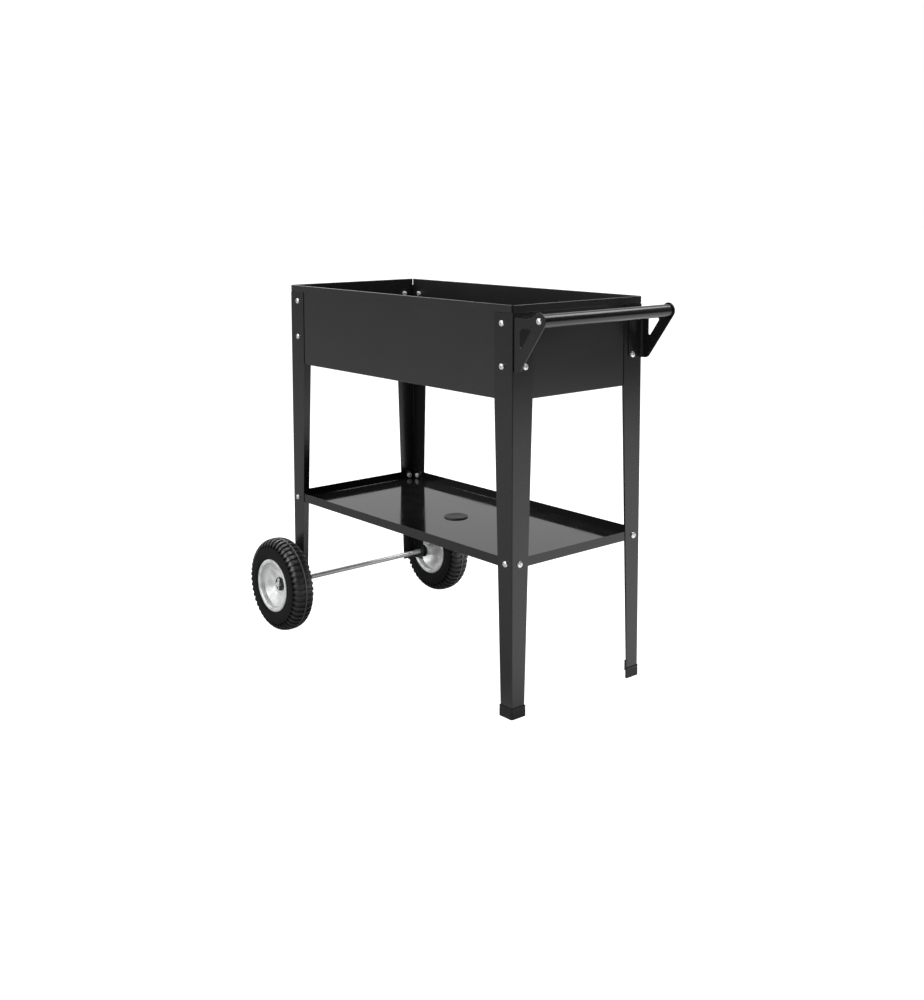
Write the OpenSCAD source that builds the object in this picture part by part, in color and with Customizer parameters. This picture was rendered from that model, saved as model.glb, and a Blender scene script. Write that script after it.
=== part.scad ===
// Raised planter trolley: a sheet-steel bin on four tapered angle legs, with a shelf tray,
// two wheels on a through axle under one end and a push handle at the other.
// X runs along the bin towards the handle, Y across it, Z up from the floor.

/* [Overall] */
// Length over the outer faces of the legs
frame_l = 761; // [600:1:1000]
// Width over the outer faces of the legs
frame_w = 358; // [300:1:500]
// Height of the rim above the floor
rim_z = 800; // [720:1:900]

/* [Bin] */
// Height of the bin from its lower edge to the rim
bin_h = 181; // [140:1:220]
// Height of the folded hem round the rim
hem_h = 15; // [10:0.5:25]
// Thickness of the hem and wall together
hem_t = 3; // [2:0.1:4]
// Thickness of the panel, floor and tray sheet
sheet_t = 1; // [0.6:0.1:1.5]
// Width of the turned-in flange that carries the floor
flange_w = 12; // [8:1:20]
// Gap between the end of a panel and the leg's inner face
corner_gap = 2.2; // [1:0.1:5]

/* [Legs] */
// Thickness of the leg sheet
leg_t = 1.5; // [1:0.1:3]
// Width of a leg's flange beside the bin
leg_top_w = 52; // [44:1:60]
// Width of a leg's flange at the floor
leg_foot_w = 32; // [26:1:40]
// Height above the floor at which the wheel-end legs stop
short_leg_z = 88; // [80:1:95]
// Outside radius of a leg's folded corner
leg_r = 2.5; // [2:0.5:5]

/* [Feet] */
// Height of a rubber foot
foot_h = 22; // [15:1:35]
// Thickness of rubber round the leg
foot_t = 1.6; // [1:0.1:3]
// Thickness of rubber under the leg
foot_sole = 4; // [3:0.5:8]

/* [Shelf] */
// Height of the shelf's underside above the floor
shelf_z = 294.5; // [250:0.5:350]
// Height of the shelf's turned-up edge
shelf_h = 20; // [14:0.5:30]
// Radius of the drain holes
drain_r = 22.5; // [15:0.5:30]
// Radius of a drain plug's head
plug_r = 26.5; // [24:0.5:34]

/* [Screws] */
// Distance of the bin screws from the leg's corner
bin_screw_in = 30; // [22:1:38]
// Height of the upper bin screws
screw_hi_z = 764.5; // [755:0.5:770]
// Height of the lower bin screws
screw_lo_z = 682.5; // [660:0.5:700]
// Distance of the shelf screws from the leg's corner
shelf_screw_in = 19; // [16:1:24]
// Height of the shelf screws above the shelf's underside
shelf_screw_up = 9; // [8:0.5:12]
// Radius of the screws' threads
screw_r = 3; // [2:0.5:3]
// Radius of the pan heads
head_r = 6.2; // [5:0.1:7]

/* [Handle] */
// Distance of the handle tube's centre from the legs' end face
handle_out = 71.5; // [60:0.5:100]
// Height of the handle tube's centre
handle_z = 775; // [765:1:785]
// Outside radius of the handle tube
tube_r = 12.7; // [10:0.1:15]
// Wall of the handle tube
tube_t = 1.2; // [1:0.1:2]
// Radius of a bracket's round end
bracket_r = 16; // [14:0.5:20]
// Thickness of the bracket plate
bracket_t = 2; // [1.5:0.1:3]
// Outside radius of the bend between a bracket's plate and flange
bend_r = 7; // [4:0.5:9]
// Width of the bracket's screw flange
bracket_flange_w = 40; // [38:1:44]

/* [Wheels] */
// Radius over the tread
wheel_r = 107; // [100:0.5:110]
// Width of the tyre
tyre_w = 54; // [45:1:60]
// Distance from the middle of the bin to the middle of a wheel
track = 231; // [228:0.5:240]
// Radius of the rim's rolled lip
rim_r = 61; // [58:0.5:64]
// Radius of the axle
axle_r = 6; // [5:0.5:7]
// Distance of the axle from the wheel-end legs' outer face
axle_in = 23.5; // [22:0.5:24]

/* [Hidden] */
$fn = 96;

// Half sizes of the frame, and the inner faces of the legs that the panels lie against
half_l = frame_l / 2;
half_w = frame_w / 2;
face_x = half_l - leg_t;
face_y = half_w - leg_t;
bin_z = rim_z - bin_h;
hem_z = rim_z - hem_h;
leg_end_z = hem_z - 0.3;
floor_z = bin_z + sheet_t;

// The reach of the handle and of the wheels past the legs, and the shift that centres the whole on X
handle_x = half_l + handle_out;
axle_x = -half_l + axle_in;
shift_x = -((handle_x + bracket_r) + (axle_x - wheel_r)) / 2;

// Shelf
shelf_screw_z = shelf_z + shelf_screw_up;
shelf_floor_z = shelf_z + sheet_t;

// Screws: a head rises head_h over its washer face, a nut is nut_h thick and nut_r across its corners
head_h = 3.8;
head_edge = 1;
nut_h = 5;
nut_r = 5.77;
tail = 2.5;
tip = 0.6;
hole_r = screw_r + 0.3;
thread_r = screw_r + 0.02;
cross_w = 1.1;
cross_l = 6.4;
cross_d = 2;

// Bracket: a plate along Y = plate_y, with a round end, a round foot and a window between them
plate_y = half_w;
plate_x = half_l + bend_r;
bracket_top = 777;
bracket_foot_r = 15.5;
bracket_foot_z = 690;
bracket_foot_x = plate_x + 3;
bracket_bottom = bracket_foot_z - bracket_foot_r;
bracket_fillet = 40;
flange_corner_r = 9;
window_in = 12;
window_top = 758.5;
window_bottom = 722;
window_r = 3.5;
insert_l = 20;
insert_spare = 4;

// Wheel: distances along the axle count outwards from the middle of the wheel
hub_in = -41;
hub_out = 3;
bush_flange_out = 2;
bush_flange_in = 2.5;
bush_flange_r = 15.5;
bush_r = 13;
bush_l = 16;
hub_r = 15;
running = 0.05;
gap = 0.3;
washer_at = hub_out + bush_flange_out + gap;
washer_t = 1.5;
washer_r = 15.5;
pin_r = 1.6;
pin_at = washer_at + washer_t + pin_r + 0.2;
pin_tail = 6;
eye_r = 3;
eye_wire = 1.1;
axle_end = 12.3;
spacer_r = 10;

// Rim and tyre: the disc bends into a cone, the cone into the bead seat, and the seat into a rolled lip
rim_t = 1.5;
disc_r = 24;
disc_bend = 16;
cone_slope = 28;
seat_bend = 5;
seat_low = 18.4;
seat_r = 54.75;
lip_bend = 3;
lip_low = 23.4;
curl_r = 0.9;
tyre_low_r = 51;
bead_slope = 4.5;
core_wall = 12;

// Plug: a head over the hole and a slightly slimmer stem through it
plug_head = 3;
plug_stem = 9;
plug_clear = 0.1;

// Width of a leg's flange at a height
function leg_w(z) = z >= bin_z ? leg_top_w : leg_foot_w + (leg_top_w - leg_foot_w) * z / bin_z;

// Points of an arc from angle a to angle b
function arc(cx, cy, r, a, b, n = 10) =
    [for (i = [0:n]) [cx + r * cos(a + (b - a) * i / n), cy + r * sin(a + (b - a) * i / n)]];

// Unit normal of the path between two points, to its left
function left(p, q) = [p[1] - q[1], q[0] - p[0]] / norm(q - p);

// A path moved sideways by d, with mitred corners
function beside(path, d) = [for (i = [0:len(path) - 1])
    let (a = left(path[max(i - 1, 0)], path[max(i, 1)]),
        b = left(path[min(i, len(path) - 2)], path[min(i + 1, len(path) - 1)]))
    path[i] + d * (a + b) / (1 + a * b)];

// A strip of sheet of thickness t along a path
function strip(path, t) = concat(beside(path, t / 2),
    [for (i = [len(path) - 1:-1:0]) beside(path, -t / 2)[i]]);

module placed() {
    translate([shift_x, 0, 0]) children();
}

// The child is drawn for the corner at +X, +Y, and mirrored where sx or sy is -1
module corner(sx, sy) {
    mirror([sx < 0 ? 1 : 0, 0, 0]) mirror([0, sy < 0 ? 1 : 0, 0]) children();
}

// A drilling through a sheet that faces along Y, or along X
module drill_y(x, y, z, r = hole_r) {
    translate([x, y, z]) rotate([90, 0, 0]) cylinder(r = r, h = 20, center = true);
}

module drill_x(x, y, z, r = hole_r) {
    translate([x, y, z]) rotate([0, 90, 0]) cylinder(r = r, h = 20, center = true);
}

// ---------- bin ----------

// Section of a panel: the origin is on the wall's outer face at the lower edge, inwards is +X.
// The wall rises to the rim, where the sheet turns over and down outside, and a flange turns in below.
module panel_section() {
    out = hem_t - sheet_t;
    square([sheet_t, bin_h - hem_t / 2]);
    translate([-out, bin_h - hem_h]) square([hem_t, hem_h - hem_t / 2]);
    translate([sheet_t - hem_t / 2, bin_h - hem_t / 2]) circle(r = hem_t / 2);
}

// A panel of length l that lies along X with its outer face at Y = 0 and its inside towards +Y
module panel(l, flange_l) {
    rotate([90, 0, 90]) linear_extrude(l, center = true) panel_section();
    translate([-flange_l / 2, 0, 0]) cube([flange_l, flange_w + sheet_t, sheet_t]);
}

module long_panel(side) {
    l = 2 * (face_x - corner_gap);
    color("#26282a") placed() corner(1, side) difference() {
        translate([0, face_y, bin_z]) rotate([0, 0, 180]) panel(l, l);
        for (x = [-half_l + bin_screw_in, half_l - bin_screw_in], z = [screw_lo_z, screw_hi_z])
            drill_y(x, face_y, z);
    }
}

module end_panel(side) {
    l = 2 * (face_y - corner_gap);
    color("#26282a") placed() corner(side, 1) difference() {
        translate([face_x, 0, bin_z]) rotate([0, 0, 90]) panel(l, l - 2 * (flange_w + 1));
        for (y = [-half_w + bin_screw_in, half_w - bin_screw_in], z = [screw_lo_z, screw_hi_z])
            drill_x(face_x, y, z);
    }
}

module bin_floor() {
    l = 2 * (face_x - corner_gap);
    w = 2 * (face_y - corner_gap);
    color("#26282a") placed() difference() {
        translate([-l / 2, -w / 2, floor_z]) cube([l, w, sheet_t]);
        translate([0, 0, floor_z - 1]) cylinder(r = drain_r, h = sheet_t + 2);
    }
}

// ---------- legs and feet ----------

// Outline of an angle section with its outer corner at the origin and flanges along -X and -Y
module angle_outline(w, t, r) {
    difference() {
        union() {
            translate([-w, -w]) square([w - r, w]);
            translate([-w, -w]) square([w, w - r]);
            translate([-r, -r]) circle(r = r);
        }
        translate([-w - t, -w - t]) square([w, w]);
    }
}

// What is cut from a flange, seen square on: below the bin it narrows all the way to the floor
module taper_outline() {
    far = leg_top_w + 5;
    polygon([[-far, 0], [-leg_foot_w, 0], [-leg_top_w, bin_z], [-far, bin_z]]);
}

module leg_blank(low_z) {
    difference() {
        translate([0, 0, low_z]) linear_extrude(leg_end_z - low_z) angle_outline(leg_top_w, leg_t, leg_r);
        rotate([90, 0, 0]) linear_extrude(3 * leg_t, center = true) taper_outline();
        rotate([90, 0, 90]) linear_extrude(3 * leg_t, center = true) taper_outline();
    }
}

module leg(sx, sy) {
    low_z = sx > 0 ? foot_sole : short_leg_z;
    color("#2b2d2f") placed() corner(sx, sy) difference() {
        translate([half_l, half_w, 0]) leg_blank(low_z);
        for (z = [screw_lo_z, screw_hi_z]) {
            drill_y(half_l - bin_screw_in, half_w, z);
            drill_x(half_l, half_w - bin_screw_in, z);
        }
        drill_y(half_l - shelf_screw_in, half_w, shelf_screw_z);
        drill_x(half_l, half_w - shelf_screw_in, shelf_screw_z);
        if (sx < 0) drill_y(half_l - axle_in, half_w, wheel_r, axle_r + running);
    }
}

// An L-shaped rubber cap round the lower end of a handle-end leg
module foot(sy) {
    w = leg_w(foot_h) + 2 * foot_t;
    color("#151515") placed() corner(1, sy) difference() {
        translate([half_l + foot_t, half_w + foot_t, 0]) linear_extrude(foot_h)
            angle_outline(w, leg_t + 2 * foot_t, leg_r + foot_t);
        translate([half_l, half_w, foot_sole]) linear_extrude(foot_h)
            angle_outline(leg_w(foot_h), leg_t, leg_r);
    }
}

// ---------- shelf ----------

module shelf_tray() {
    color("#2b2d2f") placed() difference() {
        translate([-face_x, -face_y, shelf_z]) cube([2 * face_x, 2 * face_y, shelf_h]);
        translate([-face_x + sheet_t, -face_y + sheet_t, shelf_floor_z])
            cube([2 * (face_x - sheet_t), 2 * (face_y - sheet_t), shelf_h]);
        translate([0, 0, shelf_z - 1]) cylinder(r = drain_r, h = sheet_t + 2);
        for (sx = [-1, 1], sy = [-1, 1]) corner(sx, sy) {
            drill_y(half_l - shelf_screw_in, face_y, shelf_screw_z);
            drill_x(face_x, half_w - shelf_screw_in, shelf_screw_z);
        }
    }
}

// A push-in bung: a domed head that lies on the sheet and a stem with a bevelled tip
module plug(sheet_top) {
    r = drain_r - plug_clear;
    color("#141414") placed() translate([0, 0, sheet_top]) rotate_extrude()
        polygon(concat([[0, -plug_stem], [r - 2, -plug_stem], [r, -plug_stem + 3], [r, 0], [plug_r, 0]],
            arc(plug_r - 1.5, plug_head - 1.8, 1.5, 0, 80, 5), [[0, plug_head]]));
}

// ---------- handle ----------

// Outline of a bracket plate in X and Z: a round end for the tube, a straight arm down to the leg
module bracket_outline() {
    // The arm's outer edge is tangent to the round end and to the round foot
    dx = handle_x - bracket_foot_x;
    dz = handle_z - bracket_foot_z;
    run = norm([dx, dz]);
    tilt = atan2(dz, dx) + asin((bracket_r - bracket_foot_r) / run);
    out = tilt - 90;
    // A hollow fillet leads from the straight top edge to the round end
    lift = bracket_top + bracket_fillet - handle_z;
    reach = sqrt(pow(bracket_r + bracket_fillet, 2) - pow(lift, 2));
    neck = atan2(lift, -reach);
    difference() {
        polygon(concat([[plate_x, bracket_bottom]],
            arc(bracket_foot_x, bracket_foot_z, bracket_foot_r, -90, out, 10),
            arc(handle_x, handle_z, bracket_r, out, neck, 24),
            arc(handle_x - reach, handle_z + lift, bracket_fillet, neck - 184, -90, 6),
            [[plate_x, bracket_top]]));
        window(tilt);
    }
}

// The triangular window with rounded corners, its long side parallel to the arm's outer edge
module window(tilt) {
    r = window_r;
    left_x = plate_x + window_in + r;
    top_z = window_top - r;
    low_z = window_bottom + r;
    right_x = left_x + (top_z - low_z) / tan(tilt);
    polygon(concat(arc(left_x, top_z, r, 180, 90, 6), arc(right_x, top_z, r, 90, tilt - 90, 8),
        arc(left_x, low_z, r, tilt - 90, -180, 8)));
}

module bracket(sy) {
    h = bracket_top - bracket_bottom;
    in_y = plate_y - bend_r;
    flange_y = plate_y - bracket_flange_w + flange_corner_r;
    color("#232527") placed() corner(1, sy) difference() {
        union() {
            translate([0, plate_y, 0]) rotate([90, 0, 0]) linear_extrude(bracket_t) bracket_outline();
            translate([plate_x, in_y, bracket_bottom]) linear_extrude(h) intersection() {
                difference() {
                    circle(r = bend_r);
                    circle(r = bend_r - bracket_t);
                }
                translate([-bend_r, 0]) square(bend_r);
            }
            translate([half_l, 0, 0]) rotate([90, 0, 90]) linear_extrude(bracket_t) polygon(concat(
                [[in_y, bracket_bottom], [in_y, bracket_top]],
                arc(flange_y, bracket_top - flange_corner_r, flange_corner_r, 90, 180, 6),
                arc(flange_y, bracket_bottom + flange_corner_r, flange_corner_r, 180, 270, 6)));
        }
        drill_y(handle_x, plate_y, handle_z);
        for (z = [screw_lo_z, screw_hi_z]) drill_x(half_l, half_w - bin_screw_in, z);
    }
}

module handle_tube() {
    l = 2 * (plate_y - bracket_t);
    color("#1c1d1e") placed() translate([handle_x, 0, handle_z]) rotate([90, 0, 0]) difference() {
        cylinder(r = tube_r, h = l, center = true);
        cylinder(r = tube_r - tube_t, h = l + 2, center = true);
    }
}

module handle_inserts() {
    color("#3a3a3a") placed() for (sy = [-1, 1]) corner(1, sy)
        translate([handle_x, plate_y - bracket_t - insert_l, handle_z]) rotate([-90, 0, 0])
            difference() {
                cylinder(r = tube_r - tube_t, h = insert_l);
                translate([0, 0, -1]) cylinder(r = thread_r, h = insert_l + 2);
            }
}

// ---------- fasteners ----------

// A pan-head screw with a cross recess: the washer face is at Z = 0, the head above, the shank below
module screw(shank) {
    difference() {
        rotate_extrude() polygon(concat([[0, -shank], [screw_r - tip, -shank], [screw_r, -shank + tip],
            [screw_r, 0], [head_r, 0]],
            [for (a = [0:18:90]) [head_r * pow(cos(a), 0.5), head_edge + (head_h - head_edge) * sin(a)]]));
        for (a = [0, 90]) rotate([0, 0, a]) translate([-cross_l / 2, -cross_w / 2, head_h - cross_d])
            cube([cross_l, cross_w, cross_d + 1]);
    }
}

module hex_nut() {
    difference() {
        cylinder(r = nut_r, h = nut_h, $fn = 6);
        translate([0, 0, -1]) cylinder(r = thread_r, h = nut_h + 2);
    }
}

// Places a fastener on a face: outwards is the child's +Z
module facing_y(x, y, z) {
    translate([x, y, z]) rotate([-90, 0, 0]) children();
}

module facing_x(x, y, z) {
    translate([x, y, z]) rotate([0, 90, 0]) children();
}

module bin_screws() {
    shank = leg_t + sheet_t + nut_h + tail;
    color("#c8c8c8") placed() for (sx = [-1, 1], sy = [-1, 1], z = [screw_lo_z, screw_hi_z])
        corner(sx, sy) {
            seat = sx > 0 ? bracket_t : 0;
            facing_y(half_l - bin_screw_in, half_w, z) screw(shank);
            facing_x(half_l + seat, half_w - bin_screw_in, z) screw(shank + seat);
        }
}

module bin_nuts() {
    color("#b8b8b8") placed() for (sx = [-1, 1], sy = [-1, 1], z = [screw_lo_z, screw_hi_z])
        corner(sx, sy) {
            facing_y(half_l - bin_screw_in, face_y - sheet_t - nut_h, z) hex_nut();
            facing_x(face_x - sheet_t - nut_h, half_w - bin_screw_in, z) hex_nut();
        }
}

module shelf_screws() {
    shank = leg_t + sheet_t + nut_h + tail;
    color("#c8c8c8") placed() for (sx = [-1, 1], sy = [-1, 1]) corner(sx, sy) {
        facing_y(half_l - shelf_screw_in, half_w, shelf_screw_z) screw(shank);
        facing_x(half_l, half_w - shelf_screw_in, shelf_screw_z) screw(shank);
    }
}

module shelf_nuts() {
    color("#b8b8b8") placed() for (sx = [-1, 1], sy = [-1, 1]) corner(sx, sy) {
        facing_y(half_l - shelf_screw_in, face_y - sheet_t - nut_h, shelf_screw_z) hex_nut();
        facing_x(face_x - sheet_t - nut_h, half_w - shelf_screw_in, shelf_screw_z) hex_nut();
    }
}

module handle_screws() {
    color("#c8c8c8") placed() for (sy = [-1, 1]) corner(1, sy)
        facing_y(handle_x, plate_y, handle_z) screw(bracket_t + insert_l - insert_spare);
}

// ---------- axle ----------

// Places a child on the axle, on side sy, with its +Z outwards and its origin in the wheel's middle
module on_axle(sy) {
    placed() corner(1, sy) translate([axle_x, track, wheel_r]) rotate([-90, 0, 0]) children();
}

module axle() {
    l = 2 * (track + axle_end);
    bevel = 1;
    color("#c4c6c8") placed() translate([axle_x, 0, wheel_r]) difference() {
        rotate([90, 0, 0]) rotate_extrude() polygon([[0, -l / 2], [axle_r - bevel, -l / 2],
            [axle_r, -l / 2 + bevel], [axle_r, l / 2 - bevel], [axle_r - bevel, l / 2], [0, l / 2]]);
        for (sy = [-1, 1]) translate([0, sy * (track + pin_at), 0])
            cylinder(r = pin_r + 0.1, h = 40, center = true);
    }
}

// A plain tube between two distances along the axle
module tube_of(r_out, r_in, low, high) {
    difference() {
        translate([0, 0, low]) cylinder(r = r_out, h = high - low);
        translate([0, 0, low - 1]) cylinder(r = r_in, h = high - low + 2);
    }
}

module axle_spacers() {
    color("#1a1a1a") for (sy = [-1, 1]) on_axle(sy)
        tube_of(spacer_r, axle_r + running, half_w - track, hub_in - bush_flange_in - gap);
}

module axle_washers() {
    color("#202020") for (sy = [-1, 1]) on_axle(sy)
        tube_of(washer_r, axle_r + running, washer_at, washer_at + washer_t);
}

// A split pin: a straight double shank through the axle and an eye above it
module split_pins() {
    top = axle_r + 0.4;
    color("#b0b2b4") for (sy = [-1, 1]) on_axle(sy) translate([0, 0, pin_at]) rotate([90, 0, 0]) {
        translate([0, 0, -axle_r - pin_tail]) cylinder(r = pin_r, h = top + axle_r + pin_tail);
        translate([0, 0, top + eye_r]) rotate([90, 0, 0]) rotate_extrude()
            translate([eye_r, 0]) circle(r = eye_wire);
    }
}

// ---------- wheels ----------

// One stamped rim half: a disc at the wheel's middle, a bowl that opens outwards, a bead seat and a lip
module rim_half() {
    mid = rim_t / 2;
    seat_in = seat_r - mid;
    lip_z = lip_low + lip_bend;
    path = concat([[hub_r, mid]],
        arc(disc_r, mid + disc_bend, disc_bend, -90, cone_slope - 90, 4),
        arc(seat_in - seat_bend, seat_low, seat_bend, cone_slope - 90, 0, 4),
        arc(seat_in + lip_bend, lip_low, lip_bend, 180, 90, 4),
        arc(rim_r - mid - curl_r, lip_z - curl_r, curl_r, 90, -30, 6));
    rotate_extrude() polygon(strip(path, rim_t));
}

// Half of a tyre's section from the bead to the middle of the tread, a wall's thickness in from its
// outside: a squarish oval
function tyre_side(wall) =
    let (reach = (wheel_r - tyre_low_r) / 2 - wall, half = tyre_w / 2 - wall)
    concat([[seat_r, half - bead_slope]], [for (a = [-42:12:90])
        [(wheel_r + tyre_low_r) / 2 + reach * sin(a), half * pow(1 - pow(abs(sin(a)), 3.5), 1 / 2.6)]]);

// The other half of a section, back from the tread to the other bead
function mirrored(side) = [for (i = [len(side) - 2:-1:0]) [side[i][0], -side[i][1]]];

// A hollow tyre, open at its foot between the two beads
module tyre() {
    rotate_extrude() difference() {
        polygon(concat(tyre_side(0), mirrored(tyre_side(0))));
        polygon(concat(tyre_side(core_wall), mirrored(tyre_side(core_wall))));
    }
}

module bush(low, high, flange_low, flange_high) {
    tube_of(bush_r, axle_r + running, low, high);
    tube_of(bush_flange_r, axle_r + running, flange_low, flange_high);
}

module wheel_tyre(sy) {
    color("#1b1b1b") on_axle(sy) tyre();
}

module wheel_rim_outer(sy) {
    color("#b9bcbf") on_axle(sy) rim_half();
}

module wheel_rim_inner(sy) {
    color("#b9bcbf") on_axle(sy) mirror([0, 0, 1]) rim_half();
}

module wheel_hub_tube(sy) {
    color("#a4a7aa") on_axle(sy) tube_of(hub_r, bush_r, hub_in, hub_out);
}

module wheel_bush_outer(sy) {
    color("#111111") on_axle(sy) bush(hub_out - bush_l, hub_out, hub_out, hub_out + bush_flange_out);
}

module wheel_bush_inner(sy) {
    color("#111111") on_axle(sy) bush(hub_in, hub_in + bush_l, hub_in - bush_flange_in, hub_in);
}

long_panel(-1);  // front_panel
long_panel(1);  // back_panel
end_panel(1);  // handle_end_panel
end_panel(-1);  // wheel_end_panel
bin_floor();
leg(1, -1);  // front_handle_leg
leg(1, 1);  // back_handle_leg
leg(-1, -1);  // front_wheel_leg
leg(-1, 1);  // back_wheel_leg
foot(-1);  // front_foot
foot(1);  // back_foot
shelf_tray();
bracket(-1);  // front_bracket
bracket(1);  // back_bracket
handle_tube();
handle_inserts();
handle_screws();
bin_screws();
bin_nuts();
shelf_screws();
shelf_nuts();
axle();
axle_spacers();
axle_washers();
split_pins();
plug(floor_z + sheet_t);  // floor_plug
plug(shelf_floor_z);  // shelf_plug
wheel_tyre(-1);  // front_tyre
wheel_rim_outer(-1);  // front_rim_outer
wheel_rim_inner(-1);  // front_rim_inner
wheel_hub_tube(-1);  // front_hub_tube
wheel_bush_outer(-1);  // front_bush_outer
wheel_bush_inner(-1);  // front_bush_inner
wheel_tyre(1);  // back_tyre
wheel_rim_outer(1);  // back_rim_outer
wheel_rim_inner(1);  // back_rim_inner
wheel_hub_tube(1);  // back_hub_tube
wheel_bush_outer(1);  // back_bush_outer
wheel_bush_inner(1);  // back_bush_inner
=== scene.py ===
import math

import bmesh
import bpy
from mathutils import Matrix, Vector


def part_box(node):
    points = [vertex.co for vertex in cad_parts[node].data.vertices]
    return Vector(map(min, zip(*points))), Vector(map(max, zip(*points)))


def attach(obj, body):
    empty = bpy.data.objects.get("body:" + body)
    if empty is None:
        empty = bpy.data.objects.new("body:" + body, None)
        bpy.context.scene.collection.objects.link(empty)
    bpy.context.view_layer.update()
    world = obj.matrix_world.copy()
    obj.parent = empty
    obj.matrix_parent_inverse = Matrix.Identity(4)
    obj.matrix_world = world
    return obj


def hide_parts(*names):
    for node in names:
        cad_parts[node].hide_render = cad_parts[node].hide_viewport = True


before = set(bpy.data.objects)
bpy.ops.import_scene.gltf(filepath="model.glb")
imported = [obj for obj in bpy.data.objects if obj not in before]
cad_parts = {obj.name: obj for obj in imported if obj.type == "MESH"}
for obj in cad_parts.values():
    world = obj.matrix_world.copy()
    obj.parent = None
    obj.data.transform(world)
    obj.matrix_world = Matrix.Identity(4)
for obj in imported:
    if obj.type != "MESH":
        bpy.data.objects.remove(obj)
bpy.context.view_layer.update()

# ---------------------------------------------------------------- camera
# A long lens a little above the rim, off the handle end's near corner. It tilts down only a little
# and lens shift does the rest, so that the legs stay nearly upright.
TILT_DOWN = 6.0
HEADING = 48.894
camera = bpy.data.objects.new("camera", bpy.data.cameras.new("camera"))
bpy.context.scene.collection.objects.link(camera)
camera.location = (2.0806, -1.7363, 0.9930)
camera.rotation_euler = (math.radians(90 - TILT_DOWN), 0, math.radians(HEADING))
camera.data.lens = 44.916
camera.data.sensor_width = 36
camera.data.shift_x = -0.0215
camera.data.shift_y = -0.1681
camera.data.clip_end = 60
bpy.context.scene.camera = camera
bpy.context.scene.view_settings.view_transform = "Standard"

# ---------------------------------------------------------------- floor and light
# A plain pale floor that runs out of sight, in a white studio that is brightest behind the trolley.
# Soft boxes stand in front, at both ends, behind and overhead. What the coats mirror of the floor is
# a bright strip beyond the trolley and a dim pool in front of it.
bpy.ops.object.select_all(action="DESELECT")
bpy.ops.mesh.primitive_circle_add(vertices=96, radius=40, fill_type="NGON")
floor = bpy.context.object
floor.name = "studio_floor"

floor_paint = bpy.data.materials.new("floor_paint")
floor_paint.use_nodes = True
nodes, links = floor_paint.node_tree.nodes, floor_paint.node_tree.links
paint = nodes["Principled BSDF"]
paint.inputs["Roughness"].default_value = 0.9
paint.inputs["Specular IOR Level"].default_value = 0.1
paint.inputs["Emission Color"].default_value = (1, 1, 1, 1)
seen = nodes.new("ShaderNodeLightPath")
spot = nodes.new("ShaderNodeNewGeometry").outputs["Position"]


def floor_fade(kind, aim, start, stop, level):
    """A smooth fade over the floor, along a direction or away from a point."""
    measure = nodes.new("ShaderNodeVectorMath")
    measure.operation = kind
    measure.inputs[1].default_value = aim
    links.new(spot, measure.inputs[0])
    fade = nodes.new("ShaderNodeMapRange")
    fade.interpolation_type = "SMOOTHSTEP"
    fade.inputs["From Min"].default_value = start
    fade.inputs["From Max"].default_value = stop
    fade.inputs["To Max"].default_value = level
    links.new(measure.outputs["Value"], fade.inputs["Value"])
    return fade.outputs["Result"]


strip = nodes.new("ShaderNodeMath")
strip.operation = "MULTIPLY"
links.new(floor_fade("DOT_PRODUCT", (0.77, 0.64, 0), -0.1, 0.5, 1.0), strip.inputs[0])
links.new(floor_fade("DISTANCE", (1.2, 1.0, 0), 3.6, 1.4, 1.0), strip.inputs[1])
both = nodes.new("ShaderNodeMath")
both.operation = "ADD"
links.new(strip.outputs["Value"], both.inputs[0])
links.new(floor_fade("DISTANCE", (-5.5, -5.0, 0), 6.5, 3.0, 0.24), both.inputs[1])
glare = nodes.new("ShaderNodeMix")
glare.inputs["B"].default_value = 1.1
links.new(seen.outputs["Is Camera Ray"], glare.inputs["Factor"])
links.new(both.outputs["Value"], glare.inputs["A"])
links.new(glare.outputs["Result"], paint.inputs["Emission Strength"])
mottle = nodes.new("ShaderNodeTexNoise")
mottle.inputs["Scale"].default_value = 3.0
ramp = nodes.new("ShaderNodeMapRange")
ramp.inputs["To Min"].default_value = 0.36
ramp.inputs["To Max"].default_value = 0.40
links.new(mottle.outputs["Fac"], ramp.inputs["Value"])
links.new(ramp.outputs["Result"], paint.inputs["Base Color"])
floor.data.materials.append(floor_paint)

world = bpy.data.worlds.new("studio")
bpy.context.scene.world = world
world.use_nodes = True
nodes, links = world.node_tree.nodes, world.node_tree.links
sky = nodes["Background"]
direction = nodes.new("ShaderNodeTexCoord")
along = nodes.new("ShaderNodeVectorMath")
along.operation = "DOT_PRODUCT"
along.inputs[1].default_value = (-0.76, 0.64, 0.1)
links.new(direction.outputs["Generated"], along.inputs[0])
glow = nodes.new("ShaderNodeMapRange")
glow.interpolation_type = "SMOOTHSTEP"
glow.inputs["From Min"].default_value = -0.15
glow.inputs["From Max"].default_value = 0.62
glow.inputs["To Min"].default_value = 0.04
glow.inputs["To Max"].default_value = 0.70
links.new(along.outputs["Value"], glow.inputs["Value"])
seen = nodes.new("ShaderNodeLightPath")
wall = nodes.new("ShaderNodeMix")
wall.inputs["B"].default_value = 1.0
links.new(seen.outputs["Is Camera Ray"], wall.inputs["Factor"])
links.new(glow.outputs["Result"], wall.inputs["A"])
links.new(wall.outputs["Result"], sky.inputs["Strength"])
sky.inputs["Color"].default_value = (1, 1, 1, 1)


def soft_box(name, place, aim, width, height, watts):
    """A rectangular studio light at a place, turned to face a point."""
    light = bpy.data.lights.new(name, "AREA")
    light.shape = "RECTANGLE"
    light.size = width
    light.size_y = height
    light.energy = watts
    lamp = bpy.data.objects.new(name, light)
    lamp.location = place
    lamp.rotation_euler = (Vector(aim) - Vector(place)).to_track_quat("-Z", "Y").to_euler()
    bpy.context.scene.collection.objects.link(lamp)


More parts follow.
